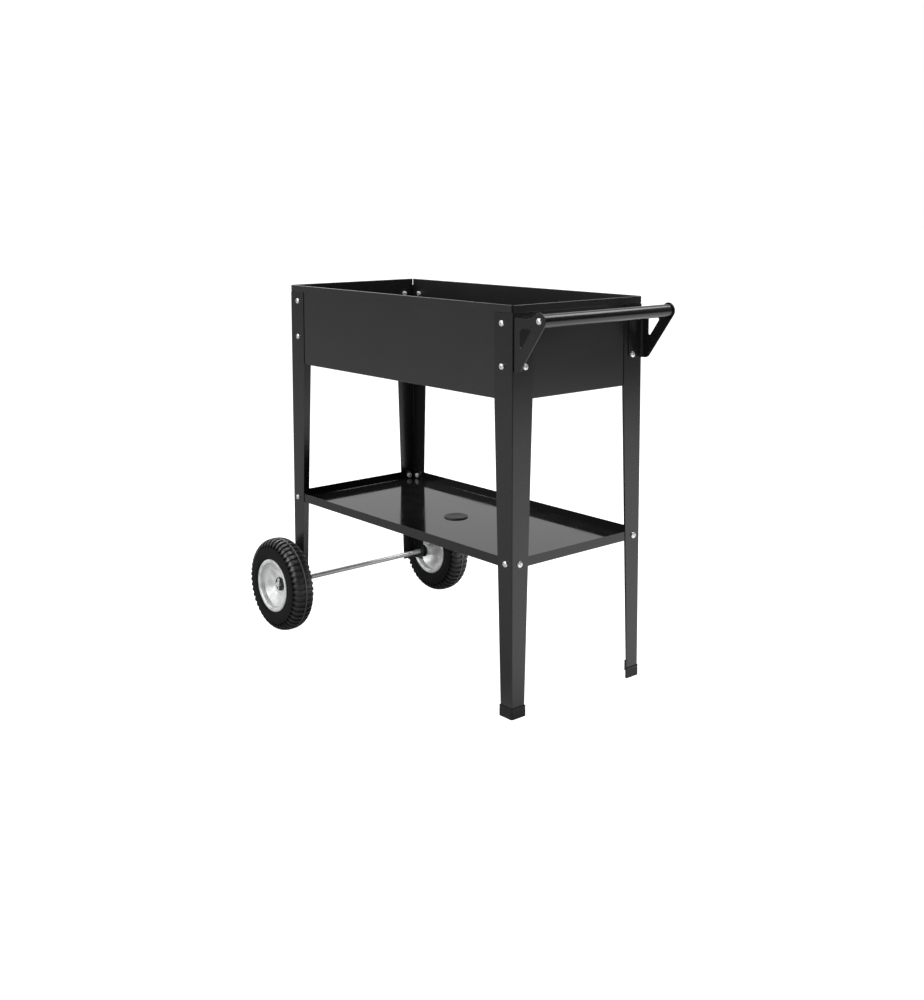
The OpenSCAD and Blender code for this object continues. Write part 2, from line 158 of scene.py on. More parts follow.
soft_box("front_box", (-0.6, -3.4, 1.9), (0, 0, 0.5), 3.2, 2.2, 105)
soft_box("right_box", (3.6, 0.5, 1.6), (0.2, 0, 0.4), 1.6, 1.8, 10)
soft_box("overhead_box", (0, 0.2, 3.4), (0, 0, 0.5), 1.5, 1.3, 62)
soft_box("left_box", (-2.8, 0.3, 2.6), (0, 0, 0.6), 1.8, 1.2, 28)
soft_box("rear_box", (0.9, 2.3, 3.2), (0.3, 0, 0.7), 1.6, 1.0, 22)


# ---------------------------------------------------------------- powder coat
# All the sheet steel is dipped, then sprayed with a black polyester powder that melts into a
# smooth skin with a faint orange peel. A little dust lies on what faces up.
def new_group(name, inputs, outputs):
    """An empty shader group with named number inputs and outputs."""
    group = bpy.data.node_groups.new(name, "ShaderNodeTree")
    for label, value in inputs:
        socket = group.interface.new_socket(label, in_out="INPUT", socket_type="NodeSocketFloat")
        socket.default_value = value
    for label in outputs:
        group.interface.new_socket(label, in_out="OUTPUT", socket_type="NodeSocketFloat")
    return group, group.nodes.new("NodeGroupInput"), group.nodes.new("NodeGroupOutput")


def noise_of(tree, scale, detail, vector=None):
    """A noise texture on object coordinates, or on the vector given."""
    noise = tree.nodes.new("ShaderNodeTexNoise")
    noise.inputs["Scale"].default_value = scale
    noise.inputs["Detail"].default_value = detail
    if vector is None:
        vector = tree.nodes.new("ShaderNodeTexCoord").outputs["Object"]
    tree.links.new(vector, noise.inputs["Vector"])
    return noise.outputs["Fac"]


def mapped(tree, value, low, high, from_low=0.0, from_high=1.0):
    """A value stretched from one range to another."""
    node = tree.nodes.new("ShaderNodeMapRange")
    for label, number in (("From Min", from_low), ("From Max", from_high)):
        node.inputs[label].default_value = number
    for label, number in (("To Min", low), ("To Max", high)):
        if isinstance(number, (int, float)):
            node.inputs[label].default_value = number
        else:
            tree.links.new(number, node.inputs[label])
    tree.links.new(value, node.inputs["Value"])
    return node.outputs["Result"]


def sums(tree, kind, a, b):
    """Two values joined by a Math node."""
    node = tree.nodes.new("ShaderNodeMath")
    node.operation = kind
    for socket, value in zip(node.inputs, (a, b)):
        if isinstance(value, (int, float)):
            socket.default_value = value
        else:
            tree.links.new(value, socket)
    return node.outputs["Value"]


# Orange peel and slow gloss changes of a baked powder skin
peel, at, to = new_group("powder_skin", [("Peel Scale", 420.0)], ["Height", "Gloss", "Cloud"])
peel_waves = noise_of(peel, 420.0, 2.0)
peel.links.new(at.outputs["Peel Scale"], peel_waves.node.inputs["Scale"])
peel_grain = noise_of(peel, 2600.0, 1.0)
peel_height = sums(peel, "ADD", peel_waves, sums(peel, "MULTIPLY", peel_grain, 0.18))
peel.links.new(peel_height, to.inputs["Height"])
peel.links.new(noise_of(peel, 7.0, 4.0), to.inputs["Gloss"])
peel.links.new(noise_of(peel, 2.6, 3.0), to.inputs["Cloud"])

# Dust that settles on what faces up, patchy and finely speckled
dust, at, to = new_group("settled_dust", [("Amount", 0.1)], ["Mask"])
facing = dust.nodes.new("ShaderNodeSeparateXYZ")
dust.links.new(dust.nodes.new("ShaderNodeNewGeometry").outputs["Normal"], facing.inputs["Vector"])
upward = mapped(dust, facing.outputs["Z"], 0.0, 1.0, 0.55, 1.0)
patches = mapped(dust, noise_of(dust, 22.0, 6.0), 0.25, 1.0, 0.35, 0.7)
specks = mapped(dust, noise_of(dust, 900.0, 2.0), 0.5, 1.0, 0.35, 0.65)
layer = sums(dust, "MULTIPLY", sums(dust, "MULTIPLY", upward, patches), specks)
dust.links.new(sums(dust, "MULTIPLY", layer, at.outputs["Amount"]), to.inputs["Mask"])


def use_group(tree, group, **values):
    """A group placed in a material, with its own input values."""
    node = tree.nodes.new("ShaderNodeGroup")
    node.node_tree = group
    for label, value in values.items():
        node.inputs[label.replace("_", " ")].default_value = value
    return node


def new_material(name, **values):
    """A material and its Principled shader, with constants set on the shader's own sockets."""
    material = bpy.data.materials.new(name)
    material.use_nodes = True
    shader = material.node_tree.nodes["Principled BSDF"]
    for label, value in values.items():
        shader.inputs[label.replace("_", " ")].default_value = value
    return material, shader, material.node_tree


def two_tones(tree, mask, first, second):
    """A colour that goes from the first tone to the second with a mask."""
    mix = tree.nodes.new("ShaderNodeMix")
    mix.data_type = "RGBA"
    mix.inputs["A"].default_value = (*first, 1)
    mix.inputs["B"].default_value = (*second, 1)
    tree.links.new(mask, mix.inputs["Factor"])
    return mix


def relief(tree, shader, height, depth):
    """A bump of a real depth in metres on the shader's normal."""
    bump = tree.nodes.new("ShaderNodeBump")
    bump.inputs["Distance"].default_value = depth
    tree.links.new(height, bump.inputs["Height"])
    tree.links.new(bump.outputs["Normal"], shader.inputs["Normal"])


def powder_coat(name, tone, roughness, dustiness, peel_scale=420.0):
    """Black powder coat: a dark skin, slightly uneven in tone and gloss, with dust on top."""
    material, shader, tree = new_material(name, IOR=1.5)
    skin = use_group(tree, peel, Peel_Scale=peel_scale)
    lying = use_group(tree, dust, Amount=dustiness)
    body = two_tones(tree, skin.outputs["Cloud"], [0.90 * c for c in tone], [1.10 * c for c in tone])
    grey = two_tones(tree, lying.outputs["Mask"], tone, (0.30, 0.29, 0.27))
    tree.links.new(body.outputs["Result"], grey.inputs["A"])
    tree.links.new(grey.outputs["Result"], shader.inputs["Base Color"])
    gloss = mapped(tree, skin.outputs["Gloss"], roughness - 0.03, roughness + 0.04, 0.3, 0.7)
    dulled = sums(tree, "ADD", gloss, sums(tree, "MULTIPLY", lying.outputs["Mask"], 0.6))
    tree.links.new(dulled, shader.inputs["Roughness"])
    relief(tree, shader, skin.outputs["Height"], 0.00002)
    return material


bin_coat = powder_coat("bin_coat", (0.0170, 0.0172, 0.0176), 0.22, 0.05)


# ---------------------------------------------------------------- bin panels
# Four walls folded from 1 mm sheet. Each turns over outwards at the rim into a closed hem, and in
# at the foot into a narrow flange that carries the floor. Hem and flange stop short of the corners.
def only(piece):
    """Selects one object alone and makes it the active one."""
    bpy.ops.object.select_all(action="DESELECT")
    piece.select_set(True)
    bpy.context.view_layer.objects.active = piece


def pick(kind, test):
    """In edit mode, selects the vertices, edges or faces whose middle and self pass a test."""
    bpy.ops.mesh.select_mode(type=kind)
    bpy.ops.mesh.select_all(action="DESELECT")
    mesh = bmesh.from_edit_mesh(bpy.context.object.data)
    for part in {"VERT": mesh.verts, "EDGE": mesh.edges, "FACE": mesh.faces}[kind]:
        corners = [part] if kind == "VERT" else part.verts
        middle = sum((v.co for v in corners), Vector()) / len(corners)
        if test(middle, part):
            part.select_set(True)
    mesh.select_flush_mode()
    bmesh.update_edit_mesh(bpy.context.object.data)


def pull(x=0.0, y=0.0, z=0.0):
    """Extrudes the selection and moves it."""
    bpy.ops.mesh.extrude_region_move(TRANSFORM_OT_translate={"value": (x, y, z)})


def modify(piece, kind, **values):
    """Adds a modifier with its settings and applies it."""
    only(piece)
    modifier = piece.modifiers.new(kind.lower(), kind)
    for label, value in values.items():
        setattr(modifier, label, value)
    bpy.ops.object.modifier_apply(modifier=modifier.name)


def soften(piece, width, segments=2, angle=50):
    """Breaks the sharp edges, then smooths the shading while flat faces stay flat."""
    modify(piece, "BEVEL", width=width, segments=segments, limit_method="ANGLE",
           angle_limit=math.radians(angle))
    smooth(piece)


def smooth(piece):
    """Smooth shading over all but sharp edges, weighted towards the large flat faces."""
    only(piece)
    bpy.ops.object.shade_smooth_by_angle(angle=math.radians(35))
    modify(piece, "WEIGHTED_NORMAL", keep_sharp=True, weight=60)


def place(piece, name, material, body, slot, *stands_for):
    """Names a finished piece, paints it, fixes its place in its mesh and joins it to its body."""
    only(piece)
    bpy.ops.object.transform_apply(location=True, rotation=True, scale=True)
    piece.name = name
    piece.data.name = name
    piece.data.materials.clear()
    piece.data.materials.append(material)
    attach(piece, body)
    if stands_for:
        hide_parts(*stands_for)
    return piece


def long_edge(low_z, high_z):
    """A test for edges that run along X between two heights."""
    def test(middle, edge):
        run = edge.verts[0].co - edge.verts[1].co
        return abs(run.x) > 0.1 and low_z < middle.z < high_z
    return test


NEAR = 0.001
SHEET = 0.001
HEM = 0.015
HEM_OUT = 0.002
END_SPARE = 0.0006
HEM_FOLD = 0.00092
FOOT_FOLD = 0.0016
EDGE_BREAK = 0.0004


def bin_panel(node, turn):
    """One wall, made along X with its outside to -Y, then turned about the vertical."""
    low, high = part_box(node)
    across = abs(math.sin(turn)) > 0.5
    size = high - low
    length = (size.y if across else size.x) + 2 * END_SPARE
    depth = size.x if across else size.y
    height = size.z
    bpy.ops.object.select_all(action="DESELECT")
    bpy.ops.mesh.primitive_plane_add(size=1, rotation=(math.pi / 2, 0, 0))
    wall = bpy.context.object
    wall.scale = (length, height - SHEET, 1)
    wall.location = (0, 0, height / 2)
    bpy.ops.object.transform_apply(location=True, rotation=True, scale=True)
    bpy.ops.object.mode_set(mode="EDIT")
    at_rim = long_edge(height - NEAR, height)
    at_foot = long_edge(0, NEAR)
    pick("EDGE", at_rim)
    pull(y=-HEM_OUT)
    pull(z=-HEM + SHEET)
    pick("EDGE", at_foot)
    pull(y=depth - HEM_OUT - SHEET)
    pick("EDGE", lambda m, e: at_rim(m, e) and len(e.link_faces) == 2)
    bpy.ops.mesh.bevel(offset=HEM_FOLD, segments=5, affect="EDGES")
    pick("EDGE", lambda m, e: at_foot(m, e) and len(e.link_faces) == 2)
    bpy.ops.mesh.bevel(offset=FOOT_FOLD, segments=5, affect="EDGES")
    bpy.ops.object.mode_set(mode="OBJECT")
    modify(wall, "SOLIDIFY", thickness=SHEET, offset=0, use_even_offset=True)
    soften(wall, EDGE_BREAK, segments=3)
    middle = (low + high) / 2
    wall.rotation_euler = (0, 0, turn)
    outwards = Matrix.Rotation(turn, 3, "Z") @ Vector((0, -1, 0))
    wall.location = Vector((middle.x, middle.y, low.z)) + outwards * (depth / 2 - HEM_OUT - SHEET / 2)
    return place(wall, node + "_sheet", bin_coat, "frame", "bin_coat", node)


for node, turn in (("front_panel", 0), ("handle_end_panel", math.pi / 2),
                   ("back_panel", math.pi), ("wheel_end_panel", -math.pi / 2)):
    bin_panel(node, turn)


# ---------------------------------------------------------------- bin floor
# A flat sheet that lies on the walls' lower flanges, with a round drain hole in its middle.
def drilled(piece, centre, radius):
    """Cuts a round upright hole through a sheet."""
    bpy.ops.object.select_all(action="DESELECT")
    bpy.ops.mesh.primitive_cylinder_add(vertices=96, radius=radius, depth=0.02, location=centre)
    cutter = bpy.context.object
    modify(piece, "BOOLEAN", operation="DIFFERENCE", solver="EXACT", object=cutter)
    bpy.data.objects.remove(cutter)


DRAIN = 0.0225
low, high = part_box("bin_floor")
bpy.ops.object.select_all(action="DESELECT")
bpy.ops.mesh.primitive_plane_add(size=1, location=(low + high) / 2)
bed = bpy.context.object
bed.scale = (high.x - low.x, high.y - low.y, 1)
bpy.ops.object.transform_apply(location=True, rotation=True, scale=True)
modify(bed, "SOLIDIFY", thickness=SHEET, offset=0)
drilled(bed, (low + high) / 2, DRAIN)
soften(bed, 0.0002)
place(bed, "bin_floor_sheet", bin_coat, "frame", "bin_coat", "bin_floor")


# ---------------------------------------------------------------- legs
# Each leg is an angle folded from 1.5 mm sheet. Beside the bin its two flanges are parallel, and
# below the bin they taper to the floor. The two at the wheels are cut short above the ground.
LEG_SHEET = 0.0015
LEG_FOOT_WIDTH = 0.032
LEG_FOLD = 0.0024
LEG_EDGE = 0.0005
# Painted shade: the legs and brackets take a darker copy of the same powder coat as the bin.
leg_coat = powder_coat("leg_coat", (0.0098, 0.0100, 0.0104), 0.22, 0.04)


def face_out(sheet, right_way):
    """Makes an open sheet's faces agree, and turns them over unless they pass a test."""
    bpy.ops.object.mode_set(mode="EDIT")
    bpy.ops.mesh.select_all(action="SELECT")
    bpy.ops.mesh.normals_make_consistent(inside=False)
    bpy.ops.object.mode_set(mode="OBJECT")
    if not right_way(sheet.data.polygons):
        bpy.ops.object.mode_set(mode="EDIT")
        bpy.ops.mesh.select_all(action="SELECT")
        bpy.ops.mesh.flip_normals()
        bpy.ops.object.mode_set(mode="OBJECT")


MERGE = 0.000002


def outside_out(piece):
    """Merges doubles and turns every face of a closed mesh outwards."""
    only(piece)
    bpy.ops.object.mode_set(mode="EDIT")
    bpy.ops.mesh.select_all(action="SELECT")
    bpy.ops.mesh.remove_doubles(threshold=MERGE)
    bpy.ops.mesh.normals_make_consistent(inside=False)
    bpy.ops.object.mode_set(mode="OBJECT")


def angle_leg(node, side_x, side_y):
    """One leg, drawn for the corner at +X and +Y with its fold at the origin, then mirrored."""
    low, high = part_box(node)
    width = high.x - low.x
    bin_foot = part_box("front_panel")[0].z
    bpy.ops.object.select_all(action="DESELECT")
    bpy.ops.mesh.primitive_plane_add(size=1, rotation=(-math.pi / 2, 0, 0))
    leg = bpy.context.object
    leg.scale = (width, bin_foot, 1)
    leg.location = (-width / 2, 0, bin_foot / 2)
    bpy.ops.object.transform_apply(location=True, rotation=True, scale=True)
    bpy.ops.object.mode_set(mode="EDIT")
    pick("EDGE", lambda m, e: m.z > bin_foot - NEAR)
    pull(z=high.z - bin_foot)
    pick("EDGE", lambda m, e: abs(m.x) < NEAR)
    pull(y=-width)
    taper = width - LEG_FOOT_WIDTH
    pick("VERT", lambda m, v: m.z < NEAR and m.x < -NEAR)
    bpy.ops.transform.translate(value=(taper, 0, 0))
    pick("VERT", lambda m, v: m.z < NEAR and m.y < -NEAR)
    bpy.ops.transform.translate(value=(0, taper, 0))
    bpy.ops.mesh.select_all(action="SELECT")
    bpy.ops.mesh.bisect(plane_co=(0, 0, low.z), plane_no=(0, 0, 1), clear_inner=True)
    pick("EDGE", lambda m, e: abs(m.x) < NEAR and abs(m.y) < NEAR)
    bpy.ops.mesh.bevel(offset=LEG_FOLD, segments=6, affect="EDGES")
    bpy.ops.object.mode_set(mode="OBJECT")
    face_out(leg, lambda faces: max(f.normal.y for f in faces) > 0.9)
    modify(leg, "SOLIDIFY", thickness=LEG_SHEET, offset=-1, use_even_offset=True)
    corner = Vector((high.x if side_x > 0 else low.x, high.y if side_y > 0 else low.y, 0))
    leg.scale = (side_x, side_y, 1)
    leg.location = corner
    bpy.ops.object.transform_apply(location=True, rotation=True, scale=True)
    outside_out(leg)
    soften(leg, LEG_EDGE, segments=3)
    return place(leg, node + "_angle", leg_coat, "frame", "leg_coat", node)


for end, side_x in (("handle", 1), ("wheel", -1)):
    for side, side_y in (("front", -1), ("back", 1)):
        angle_leg(f"{side}_{end}_leg", side_x, side_y)


# ---------------------------------------------------------------- shelf tray
# A shallow tray pressed from one sheet, its edges folded up all round and screwed to the legs. The
# coat on its broad floor has flowed out smooth, so it mirrors what stands on it.
# Painted shade: the tray takes a darker copy of the same powder coat as the bin.
shelf_coat = powder_coat("shelf_coat", (0.007, 0.0071, 0.0074), 0.07, 0.04, peel_scale=260.0)
TRAY_FOLD = 0.0028
low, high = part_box("shelf_tray")
bpy.ops.object.select_all(action="DESELECT")
bpy.ops.mesh.primitive_cube_add(size=1, location=(low + high) / 2)
tray = bpy.context.object
tray.scale = high - low
bpy.ops.object.transform_apply(location=True, rotation=True, scale=True)
bpy.ops.object.mode_set(mode="EDIT")
pick("FACE", lambda m, f: f.normal.z > 0.5)
bpy.ops.mesh.delete(type="FACE")
pick("EDGE", lambda m, e: len(e.link_faces) == 2)
bpy.ops.mesh.bevel(offset=TRAY_FOLD, segments=7, affect="EDGES")
bpy.ops.object.mode_set(mode="OBJECT")
modify(tray, "SOLIDIFY", thickness=SHEET, offset=-1, use_even_offset=True)
drilled(tray, ((low.x + high.x) / 2, 0, low.z), DRAIN)
soften(tray, EDGE_BREAK, segments=3)
place(tray, "shelf_tray_sheet", shelf_coat, "frame", "shelf_coat", "shelf_tray")


# ---------------------------------------------------------------- drain plugs
# Two rubber bungs, one in the bin floor and one in the shelf. Each has a low domed head over the
# hole and a stem that fills it, with a bevelled tip, and a shallow ring moulded in the head.
def trace(points):
    """An open line of edges along X and Z, extruded from one vertex point by point."""
    bpy.ops.object.select_all(action="DESELECT")
    x, z = points[0]
    bpy.ops.mesh.primitive_plane_add(size=0.001, location=(x, 0, z))
    line = bpy.context.object
    bpy.ops.object.transform_apply(location=True, rotation=True, scale=True)
    bpy.ops.object.mode_set(mode="EDIT")
    bpy.ops.mesh.select_mode(type="VERT")
    bpy.ops.mesh.select_all(action="SELECT")
    bpy.ops.mesh.merge(type="CENTER")
    for (x0, z0), (x1, z1) in zip(points, points[1:]):
        pull(x=x1 - x0, z=z1 - z0)
    bpy.ops.object.mode_set(mode="OBJECT")
    return line


def turned(points, steps):
    """A turned piece about the Z axis, from the radius and height of its outline's points."""
    piece = trace(points)
    bpy.ops.object.mode_set(mode="EDIT")
    bpy.ops.mesh.select_all(action="SELECT")
    bpy.ops.mesh.spin(steps=steps, angle=2 * math.pi, center=(0, 0, 0), axis=(0, 0, 1))
    bpy.ops.object.mode_set(mode="OBJECT")
    outside_out(piece)
    return piece


def curve(centre, radius, start, stop, count):
    """Points of an arc, its angles in degrees."""
    angles = [math.radians(start + (stop - start) * i / count) for i in range(count + 1)]
    return [(centre[0] + radius * math.cos(a), centre[1] + radius * math.sin(a)) for a in angles]


def rubber(name, tone, roughness, dustiness, shine=0.5):
    """Moulded black rubber: a fine matte grain with a thin bloom and a little dust."""
    material, shader, tree = new_material(name, IOR=1.5, Specular_IOR_Level=shine)
    lying = use_group(tree, dust, Amount=dustiness)
    bloom = noise_of(tree, 60.0, 5.0)
    body = two_tones(tree, bloom, [0.8 * c for c in tone], [1.25 * c for c in tone])
    grey = two_tones(tree, lying.outputs["Mask"], tone, (0.26, 0.25, 0.23))
    tree.links.new(body.outputs["Result"], grey.inputs["A"])
    tree.links.new(grey.outputs["Result"], shader.inputs["Base Color"])
    grain = noise_of(tree, 1500.0, 3.0)
    tree.links.new(mapped(tree, bloom, roughness - 0.05, roughness + 0.08), shader.inputs["Roughness"])
    relief(tree, shader, grain, 0.00004)
    return material


PLUG_PLAY = 0.0001
PLUG_ROUND = 0.0019
HEAD_THICKNESS = 0.003
PLUG_BEVEL = 0.0026
plug_rubber = rubber("plug_rubber", (0.035, 0.035, 0.036), 0.5, 0.10)


def drain_plug(node, body):
    """A bung turned about its own middle and set down in its hole."""
    low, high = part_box(node)
    head = (high.x - low.x) / 2
    stem = DRAIN - PLUG_PLAY
    tip = low.z - high.z
    top = [(0, -0.0009), (0.0145, -0.0009), (0.0152, -0.0003), (0.0165, 0), (head - 0.0035, 0)]
    edge = curve((head - PLUG_ROUND, -PLUG_ROUND), PLUG_ROUND, 75, 0, 6)
    under = [(head, 0.0002 - HEAD_THICKNESS), (head - 0.0003, -HEAD_THICKNESS), (stem, -HEAD_THICKNESS),
             (stem, tip + 0.003), (stem - 0.002, tip + 0.0004), (stem - PLUG_BEVEL, tip), (0, tip)]
    plug = turned(top + edge + under, steps=72)
    soften(plug, 0.0002)
    plug.location = ((low.x + high.x) / 2, 0, high.z)
    return place(plug, node + "_bung", plug_rubber, body, "plug_rubber", node)


drain_plug("floor_plug", "floor_bung")
drain_plug("shelf_plug", "shelf_bung")


# ---------------------------------------------------------------- screws and nuts
# M6 pan-head machine screws with a cross recess hold the bin and shelf to the legs, two more hold
# the handle, and plain hexagon nuts sit inside. All are steel, bright zinc plated.
def plated(name, tone, roughness, cloud, marks=0.0, metal=1.0):
    """Zinc plate: bright metal with faint clouds and fine scratches left by the barrel."""
    material, shader, tree = new_material(name, Metallic=metal)
    clouds = noise_of(tree, cloud, 4.0)
    patches = mapped(tree, clouds, 0.0, 1.0, 0.35, 0.68)
    body = two_tones(tree, patches, [0.82 * c for c in tone], tone)
    tree.links.new(body.outputs["Result"], shader.inputs["Base Color"])
    fine = noise_of(tree, 2200.0, 3.0)
    uneven = mapped(tree, clouds, roughness - 0.05, roughness + 0.10, 0.3, 0.7)
    gloss = sums(tree, "ADD", uneven, sums(tree, "MULTIPLY", fine, marks))
    tree.links.new(gloss, shader.inputs["Roughness"])
    relief(tree, shader, fine, 0.00001)
    return material


screw_zinc = plated("screw_zinc", (0.90, 0.90, 0.91), 0.26, 300.0, 0.05, metal=0.85)
# Painted light: the nuts and split pins take a near non-metal copy of the screws' zinc, whose white
# colour the lamps light straight, so they show bright where plated metal would mirror dark
# surroundings.
nut_zinc = plated("nut_zinc", (0.94, 0.94, 0.94), 0.40, 260.0, 0.08, metal=0.15)
HEAD_RADIUS = 0.0062
HEAD_HEIGHT = 0.0038
HEAD_EDGE = 0.001
SHANK_RADIUS = 0.003
TIP = 0.0006
RECESS = (0.0062, 0.00115, 0.0024)
RECESS_SINK = 0.0008


def pan_head_screw(shank):
    """A screw turned about Z, its head's seat at the origin, with a tapered cross cut in the head."""
    crown = [(HEAD_RADIUS * math.cos(a) ** 0.5, HEAD_EDGE + (HEAD_HEIGHT - HEAD_EDGE) * math.sin(a))
             for a in map(math.radians, range(80, 0, -12))]
    seat = [(HEAD_RADIUS, 0.0008), (HEAD_RADIUS - 0.0002, 0), (SHANK_RADIUS, 0)]
    thread = [(SHANK_RADIUS, -shank + TIP), (SHANK_RADIUS - TIP, -shank), (0, -shank)]
    screw = turned([(0, HEAD_HEIGHT)] + crown + seat + thread, steps=32)
    for turn in (0, math.pi / 2):
        bpy.ops.object.select_all(action="DESELECT")
        bpy.ops.mesh.primitive_cube_add(size=1, location=(0, 0, HEAD_HEIGHT - RECESS_SINK))
        blade = bpy.context.object
        blade.scale = RECESS
        blade.rotation_euler = (0, 0, turn)
        bpy.ops.object.transform_apply(location=True, rotation=True, scale=True)
        bpy.ops.object.mode_set(mode="EDIT")
        pick("FACE", lambda m, f: f.normal.z < -0.5)
        bpy.ops.transform.resize(value=(0.45, 0.45, 1))
        bpy.ops.object.mode_set(mode="OBJECT")
        modify(screw, "BOOLEAN", operation="DIFFERENCE", solver="EXACT", object=blade)
        bpy.data.objects.remove(blade)
    only(screw)
    bpy.ops.object.shade_smooth_by_angle(angle=math.radians(38))
    return screw


def copy_of(pattern):
    """A copy of a piece with its own mesh."""
    copy = pattern.copy()
    copy.data = pattern.data.copy()
    bpy.context.scene.collection.objects.link(copy)
    return copy


FACE_TURNS = {"+X": (0, math.pi / 2, 0), "-X": (0, -math.pi / 2, 0),
              "+Y": (-math.pi / 2, 0, 0), "-Y": (math.pi / 2, 0, 0)}


def islands(node):
    """The box of each separate solid in a CAD node, in order of place."""
    mesh = bmesh.new()
    mesh.from_mesh(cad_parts[node].data)
    bmesh.ops.remove_doubles(mesh, verts=mesh.verts, dist=0.000001)
    left = set(mesh.verts)
    found = []
    while left:
        stack, group = [left.pop()], []
        while stack:
            vert = stack.pop()
            group.append(vert.co.copy())
            for edge in vert.link_edges:
                other = edge.other_vert(vert)
                if other in left:
                    left.remove(other)
                    stack.append(other)
        low = Vector(map(min, *group))
        high = Vector(map(max, *group))
        found.append((low, high))
    mesh.free()
    return sorted(found, key=lambda box: (round(box[0].x, 3), round(box[0].y, 3), round(box[0].z, 3)))


def set_screws(node, slot):
    """Puts a screw wherever the frame has one, head outwards, each turned a little differently."""
    patterns = {}
    centre = sum(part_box("bin_floor"), Vector()) / 2
    for count, (low, high) in enumerate(islands(node), 1):
        size = high - low
        axis = "X" if size.x > size.y else "Y"
        middle = (low + high) / 2
        length = max(size.x, size.y)
        outwards = middle.x > centre.x if axis == "X" else middle.y > centre.y
        face = ("+" if outwards else "-") + axis
        shank = round(length - HEAD_HEIGHT, 5)
        if shank not in patterns:
            patterns[shank] = pan_head_screw(shank)
        screw = copy_of(patterns[shank])
        only(screw)
        screw.rotation_euler = (0, 0, math.radians(37 * count % 90))
        bpy.ops.object.transform_apply(rotation=True)
        screw.rotation_euler = FACE_TURNS[face]
        tip_to_seat = length / 2 - HEAD_HEIGHT
        step = Vector((tip_to_seat, 0, 0)) if axis == "X" else Vector((0, tip_to_seat, 0))
        screw.location = middle + (step if outwards else -step)
        place(screw, f"{node[:-1]}_{count:02d}", screw_zinc, "frame", slot, node)
    for pattern in patterns.values():
        bpy.data.objects.remove(pattern)


for node in ("bin_screws", "shelf_screws", "handle_screws"):
    set_screws(node, "screw_zinc")


def repaint(node, material):
    """A better finish on a CAD node whose own shape stays."""
    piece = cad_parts[node]
    piece.data.materials.clear()
    piece.data.materials.append(material)


for node in ("bin_nuts", "shelf_nuts"):
    repaint(node, nut_zinc)


# ---------------------------------------------------------------- handle brackets
# Two plates cut and bent from 2 mm sheet. Each turns in at the leg to a flange that shares the
# bin's end screws, and reaches out past a triangular window to a round end for the tube.
def copied_from(node):
    """A clean copy of a CAD node: its loose triangles merged and its flat faces joined up."""
    bpy.ops.object.select_all(action="DESELECT")
    piece = copy_of(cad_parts[node])
    piece.parent = None
    for key in list(piece.keys()):
        del piece[key]
    only(piece)
    bpy.ops.mesh.customdata_custom_splitnormals_clear()
    bpy.ops.object.mode_set(mode="EDIT")
    bpy.ops.mesh.select_all(action="SELECT")
    bpy.ops.mesh.remove_doubles(threshold=MERGE)
    bpy.ops.mesh.dissolve_limited(angle_limit=math.radians(1))
    bpy.ops.object.mode_set(mode="OBJECT")
    return piece


for node in ("front_bracket", "back_bracket"):
    plate = copied_from(node)
    soften(plate, 0.00035, segments=3, angle=40)
    place(plate, node + "_plate", leg_coat, "frame", "leg_coat", node)


# ---------------------------------------------------------------- handle tube
# A thin steel tube between the brackets, coated in the same black but shinier where hands polish
# it. A plastic insert in each end takes the screw.
# Painted shade: the tube takes a darker copy of the same powder coat as the bin.
handle_coat = powder_coat("handle_coat", (0.009, 0.0092, 0.0095), 0.16, 0.02, peel_scale=300.0)
insert_plastic = rubber("insert_plastic", (0.03, 0.03, 0.03), 0.45, 0.0)
TUBE_WALL = 0.0012
low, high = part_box("handle_tube")
bpy.ops.object.select_all(action="DESELECT")
bpy.ops.mesh.primitive_cylinder_add(vertices=128, radius=(high.z - low.z) / 2, depth=high.y - low.y,
                                    end_fill_type="NOTHING", location=(low + high) / 2,
                                    rotation=(math.pi / 2, 0, 0))
tube = bpy.context.object
modify(tube, "SOLIDIFY", thickness=TUBE_WALL, offset=-1)
soften(tube, 0.0003, angle=60)
place(tube, "handle_tube_coated", handle_coat, "frame", "handle_coat", "handle_tube")
repaint("handle_inserts", insert_plastic)


# ---------------------------------------------------------------- axle
# A bright drawn bar right across, through both wheel-end legs. Plastic tubes space the wheels off
# the legs, and outside each wheel a black washer is held by a split pin.
def drawn_bar(name, tone, roughness):
    """Bright drawn steel: long fine lines along Y in its gloss and surface."""
    # Partly painted light: a quarter of the bar is left non-metal white, which adds a painted
    # brightness to the steel's real reflection.
    material, shader, tree = new_material(name, Metallic=0.75)
    stretch = tree.nodes.new("ShaderNodeMapping")
    stretch.inputs["Scale"].default_value = (900.0, 6.0, 900.0)
    tree.links.new(tree.nodes.new("ShaderNodeTexCoord").outputs["Object"], stretch.inputs["Vector"])
    lines = noise_of(tree, 1.0, 3.0, stretch.outputs["Vector"])
    body = two_tones(tree, lines, [0.85 * c for c in tone], tone)
    tree.links.new(body.outputs["Result"], shader.inputs["Base Color"])
    tree.links.new(mapped(tree, lines, roughness - 0.05, roughness + 0.08), shader.inputs["Roughness"])
    relief(tree, shader, lines, 0.00001)
    return material


axle_steel = drawn_bar("axle_steel", (0.93, 0.935, 0.94), 0.34)
washer_steel = plated("washer_steel", (0.05, 0.05, 0.052), 0.38, 300.0)
spacer_plastic = rubber("spacer_plastic", (0.018, 0.018, 0.018), 0.4, 0.02)
AXLE_ROUND = 0.0012
low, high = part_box("axle")
half = (high.y - low.y) / 2
flat = (high.z - low.z) / 2 - AXLE_ROUND
end = [(0, half), (flat, half)] + curve((flat, half - AXLE_ROUND), AXLE_ROUND, 90, 0, 4)
other_end = curve((flat, AXLE_ROUND - half), AXLE_ROUND, 0, -90, 4) + [(0, -half)]
bar = turned(end + other_end, steps=64)
bar.rotation_euler = (math.pi / 2, 0, 0)
bar.location = (low + high) / 2
smooth(bar)
place(bar, "axle_bar", axle_steel, "frame", "axle_steel", "axle")
repaint("axle_spacers", spacer_plastic)
repaint("axle_washers", washer_steel)
repaint("split_pins", nut_zinc)


